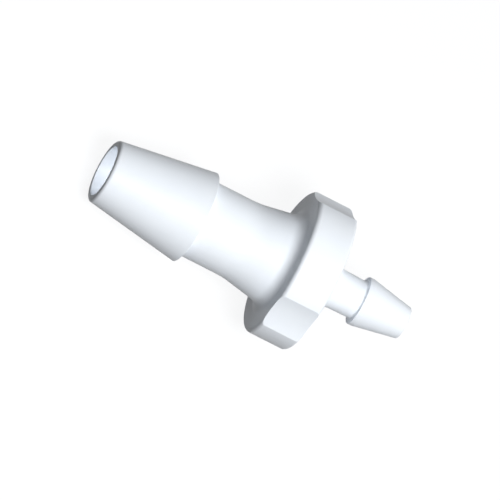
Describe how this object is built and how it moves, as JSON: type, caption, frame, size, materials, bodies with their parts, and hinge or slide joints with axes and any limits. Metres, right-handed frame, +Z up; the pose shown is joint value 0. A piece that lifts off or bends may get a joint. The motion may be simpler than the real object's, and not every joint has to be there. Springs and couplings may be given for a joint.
{
  "type": "barbed reducer fitting",
  "caption": "Moulded plastic reducer that joins a wide hose to a narrow one, with a hose barb at each end and a thick round flange with shallow finger grips between them.",
  "frame": {"origin": "middle of the foot of the bounding box, on the surface that the fitting lies on", "axes": "+Z up; the fitting's own axis lies in the XZ plane, and +X runs from the wide mouth to the narrow tip, which is held 11.2 degrees up by the flange; the fitting is alike on both sides of the XZ plane"},
  "size_m": [0.0418, 0.0188, 0.0189],
  "materials": {
    "natural_plastic": "satin moulded polypropylene, natural white"
  },
  "bodies": {
    "root": {"reducer_fitting": "natural_plastic"}
  },
  "joints": []
}
